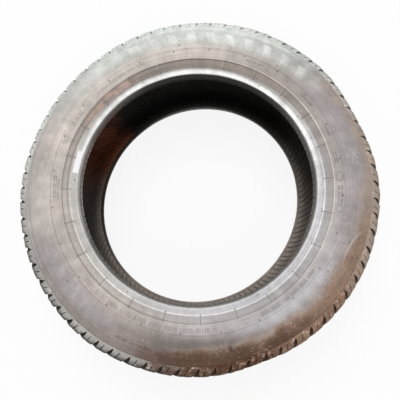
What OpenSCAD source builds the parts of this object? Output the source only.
// Worn radial car tyre, off its rim and lying flat on one sidewall.
// The tyre axis is Z; the lower sidewall rests on Z = 0.

/* [Overall] */
// Diameter over the worn tread, at the middle of the crown
outer_d = 628; // [600:1:760]
// Width over the two sidewalls, beads relaxed
section_w = 208; // [196:1:252]

/* [Bead] */
// Diameter of the bore that seats on the rim
seat_d = 402.4; // [330:0.1:440]
// Length of each bead seat along the axis
seat_l = 9; // [6:0.5:14]
// How far the toe lip stands in from the seat
toe_lip = 1.6; // [0.8:0.1:3]
// Distance between the outer edges of the two beads
bead_w = 179; // [150:1:190]
// Radius of the bead heel
heel_r = 4.5; // [3:0.5:7]
// Thickness of the bead foot, from its outer face to its inner face
bead_t = 15; // [12:0.5:18]
// Radial height of the flat bead face that bears on the rim flange
face_h = 10; // [9:0.5:14]
// How far the bead face leans outwards over that height
face_lean = 5.6; // [4:0.2:8]

/* [Sidewall] */
// Thickness of the sidewall at its widest line
side_t = 7; // [5:0.5:10]
// Radial distance from the seat to the rim line
rim_line_h = 27; // [24:0.5:30]
// Height of the rim line rib
rim_line_t = 0.9; // [0.5:0.1:1.5]
// Radial distance from the seat to the thin rib outside the lettering band
band_rib_h = 45; // [40:0.5:52]
// Height of that thin rib and of the two shoulder ribs
fine_rib_t = 0.5; // [0.3:0.1:1]
// Width of the flat ring that the tyre lies on
rest_w = 6; // [4:0.5:10]
// Share of the section height at which the sidewall is widest
widest_at = 0.53; // [0.48:0.01:0.56]

/* [Tread] */
// Distance between the two tread shoulders
tread_w = 150; // [130:1:180]
// Drop of the crown from its middle to the shoulder
crown_drop = 2.6; // [1.5:0.1:5]
// Rubber and belts under the grooves, at the middle of the crown
under_t = 7.5; // [6:0.5:12]
// Groove depth that is left
groove_d = 4.6; // [2:0.1:8]
// Width of each of the four grooves that run round the tyre
ring_groove_w = 8; // [5:0.5:11]
// Distance from the middle of the crown to the inner pair of grooves
inner_groove_z = 17; // [12:0.5:22]
// Distance from the middle of the crown to the outer pair of grooves
outer_groove_z = 48; // [40:0.5:54]

/* [Shoulder grooves] */
// Number of tread pitches round the tyre
pitches = 68; // [48:1:76]
// Width of a shoulder groove at the tread
slot_w = 4.6; // [3:0.1:6]
// Width of a shoulder groove where it runs out on the sidewall
slot_end_w = 1.4; // [1:0.1:2.5]
// Angle by which a shoulder groove slants round the tyre
slot_slant = 7; // [0:0.5:12]
// Variation of the pitch, in degrees, that spreads the tread noise
pitch_spread = 0.45; // [0:0.05:0.6]

/* [Bead label] */
// Length of the label round the bead
label_l = 39; // [20:0.5:60]
// Width of the label across the bead face
label_w = 8.4; // [4:0.2:9]
// Distance from the bead heel to the label
label_gap = 0.3; // [0:0.1:1]
// Thickness of the label
label_t = 0.3; // [0.2:0.05:0.6]
// Direction of the middle of the label round the axis
label_at = 168.7; // [0:0.1:360]

/* [Hidden] */

outer_r = outer_d / 2;
seat_r = seat_d / 2;
half_w = section_w / 2;
half_bead = bead_w / 2;
half_tread = tread_w / 2;
shoulder_z = half_tread - 7;
section_h = outer_r - seat_r;
liner_r = outer_r - groove_d - under_t;
widest_r = seat_r + section_h * widest_at;
overhang = half_w - half_tread;
buttress_z = half_tread + 0.586 * overhang;
buttress_r = outer_r - 18;
face_r0 = seat_r + heel_r;
face_r1 = face_r0 + face_h;
face_z1 = half_bead + face_lean;
cheek = half_w - face_z1;
rim_line_r = seat_r + rim_line_h;
band_rib_r = seat_r + band_rib_h;
toe_z = half_bead - heel_r - seat_l;
slot_run_out_r = outer_r - 20;
bead_filler = 6;
rib_w = 1.6;
curve_steps = 5;
round_steps = 6;
whole_turn = 360;
pitch_beat = 100;
past = 12;

// Point on a smooth curve between b and c, with a and d as its neighbours
function curve_point(a, b, c, d, t) =
    0.5 * (2 * b + (c - a) * t + (2 * a - 5 * b + 4 * c - d) * t * t
           + (3 * b - a - 3 * c + d) * t * t * t);

// Smooth curve through a list of points, first and last included
function smooth(p) = [
    for (i = [0 : len(p) - 2], s = [0 : curve_steps - 1])
        curve_point(p[max(i - 1, 0)], p[i], p[i + 1], p[min(i + 2, len(p) - 1)],
                    s / curve_steps),
    p[len(p) - 1]
];

// Small raised rib that runs round the sidewall at radius r and width z;
// lean is how much the sidewall moves out over half the rib
function rib(r, z, h, lean = 0) = [
    [r - rib_w / 2, z - lean],
    [r - rib_w / 4, z + h - lean / 2],
    [r + rib_w / 4, z + h + lean / 2],
    [r + rib_w / 2, z + lean]
];

// Radius of the crown at a distance z from its middle
function crown_r(z) = outer_r - crown_drop * pow(z / half_tread, 2);

// Outside of half the section, from the seat round to the middle of the crown.
// Each point is [radius, distance from the middle plane].
function heel() = [
    for (i = [0 : round_steps])
        let (a = 90 * i / round_steps)
        [seat_r + heel_r * (1 - cos(a)), half_bead - heel_r + heel_r * sin(a)]
];

function bead_face() = [[face_r1, face_z1]];

// Distance from the middle plane, as a share of the way from the bead face
// out to the widest line
function cheek_z(share) = face_z1 + cheek * share;

function flange_cushion() = smooth([
    [face_r1 + 1.5, cheek_z(0.05)],
    [rim_line_r - 6, cheek_z(0.06)],
    [rim_line_r - rib_w, cheek_z(0.32)]
]);

function lettering_band() = smooth([
    [rim_line_r + rib_w, cheek_z(0.39)],
    [(rim_line_r + band_rib_r) / 2, cheek_z(0.7)],
    [band_rib_r - rib_w, cheek_z(0.89)]
]);

function outer_side() = concat(
    [[widest_r - rest_w / 2, half_w], [widest_r + rest_w / 2, half_w]],
    smooth([
        [widest_r + rest_w / 2 + 4, half_w - 0.35],
        [(widest_r + buttress_r) / 2 + 2, half_w - 0.117 * overhang],
        [buttress_r - 9, buttress_z + 0.148 * overhang]
    ])
);

function shoulder() = smooth([
    [buttress_r, buttress_z],
    [outer_r - 9, half_tread + 0.33 * overhang],
    [outer_r - 4.6, half_tread + 0.1 * overhang],
    [crown_r(shoulder_z), shoulder_z]
]);

function crown() = [
    for (i = [curve_steps - 1 : -1 : 0])
        let (z = shoulder_z * i / curve_steps)
        [crown_r(z), z]
];

function outside_half() = concat(
    heel(),
    bead_face(),
    flange_cushion(),
    rib(rim_line_r, cheek_z(0.355), rim_line_t, 0.25),
    lettering_band(),
    rib(band_rib_r, cheek_z(0.905), fine_rib_t, 0.12),
    outer_side(),
    rib(buttress_r - 6.8, buttress_z + 0.107 * overhang, fine_rib_t, -0.4),
    rib(buttress_r - 3.2, buttress_z + 0.052 * overhang, fine_rib_t, -0.4),
    shoulder(),
    crown()
);

// Inner face of the sidewall at radius r, where the wall is side_t thick
function inner_z(r) = lookup(r, outside_half()) - side_t;

// Inside of half the section, from the middle of the crown down to the toe
function inside_half() = smooth([
    [liner_r, 0],
    [liner_r - 1, half_tread * 0.55],
    [liner_r - 6.5, half_tread + 1],
    [liner_r - 19, inner_z(liner_r - 19)],
    [widest_r, half_w - side_t],
    [rim_line_r + 4, inner_z(rim_line_r + 4) - bead_filler],
    [seat_r + 12, half_bead - bead_t - 1.5],
    [seat_r + 3, half_bead - bead_t - 2]
]);

function toe() = [
    [seat_r - toe_lip, toe_z - 1.2],
    [seat_r - toe_lip, toe_z - 0.4],
    [seat_r, toe_z]
];

function flipped(p) = [for (i = [len(p) - 1 : -1 : 0]) [p[i][0], -p[i][1]]];

// The whole hollow section, open between the beads
function section() =
    let (
        out = outside_half(),
        inn = inside_half(),
        foot = toe()
    )
    concat(
        out,
        [for (i = [1 : len(out) - 1]) flipped(out)[i]],
        flipped(foot),
        flipped(inn),
        [for (i = [1 : len(inn) - 1]) inn[i]],
        foot
    );

// Direction of pitch k round the tyre
function pitch_angle(k) =
    whole_turn * k / pitches + pitch_spread * sin(k * pitch_beat);

module ring_groove(z) {
    bottom_r = crown_r(z) - groove_d;
    rotate_extrude($fn = 180)
        polygon([
            [bottom_r, z - ring_groove_w / 2 + 1],
            [bottom_r, z + ring_groove_w / 2 - 1],
            [outer_r + past, z + ring_groove_w / 2 + 1],
            [outer_r + past, z - ring_groove_w / 2 - 1]
        ]);
}

// Plan of a shoulder groove as seen from outside: x along the tyre axis
module slot_plan() {
    polygon([
        [outer_groove_z, -slot_w / 2],
        [half_tread + 2, -slot_w / 2],
        [buttress_z + 4, -slot_end_w / 2],
        [buttress_z + 4, slot_end_w / 2],
        [half_tread + 2, slot_w / 2],
        [outer_groove_z, slot_w / 2]
    ]);
}

// Depth of a shoulder groove: radius against distance from the middle plane
module slot_depth() {
    polygon([
        [crown_r(outer_groove_z) - groove_d, outer_groove_z - 1],
        [crown_r(half_tread) - groove_d, half_tread - 2],
        [slot_run_out_r + 4, half_tread + 12.5],
        [slot_run_out_r, buttress_z + 3],
        [outer_r + past, buttress_z + 4],
        [outer_r + past, outer_groove_z - 1]
    ]);
}

module shoulder_slot() {
    rotate([slot_slant, 0, 0])
        intersection() {
            translate([0, slot_w, 0])
                rotate([90, 0, 0])
                    linear_extrude(height = 2 * slot_w)
                        slot_depth();
            translate([outer_r + past, 0, 0])
                rotate([0, -90, 0])
                    linear_extrude(height = 4 * past)
                        slot_plan();
        }
}

module shoulder_slots() {
    for (k = [0 : pitches - 1]) {
        rotate([0, 0, pitch_angle(k)])
            shoulder_slot();
        rotate([0, 0, pitch_angle(k) + whole_turn / pitches / 2])
            mirror([0, 0, 1])
                shoulder_slot();
    }
}

module tyre() {
    color([0.24, 0.235, 0.23])
    translate([0, 0, half_w])
    difference() {
        rotate_extrude($fn = 180)
            polygon(section());
        for (z = [-outer_groove_z, -inner_groove_z, inner_groove_z, outer_groove_z])
            ring_groove(z);
        shoulder_slots();
    }
}

// Thin blank label stuck to the face of the upper bead
module bead_label() {
    along = [face_h, face_lean] / norm([face_h, face_lean]);
    outward = [-along[1], along[0]];
    from = [face_r0, half_bead] + along * label_gap;
    to = from + along * label_w;
    sweep = label_l / (face_r0 + face_h / 2) * 180 / PI;
    color([0.93, 0.93, 0.91])
    translate([0, 0, half_w])
    rotate([0, 0, label_at - sweep / 2])
        rotate_extrude(angle = sweep, $fn = 180)
            polygon([from, to, to + outward * label_t, from + outward * label_t]);
}

tyre();
bead_label();
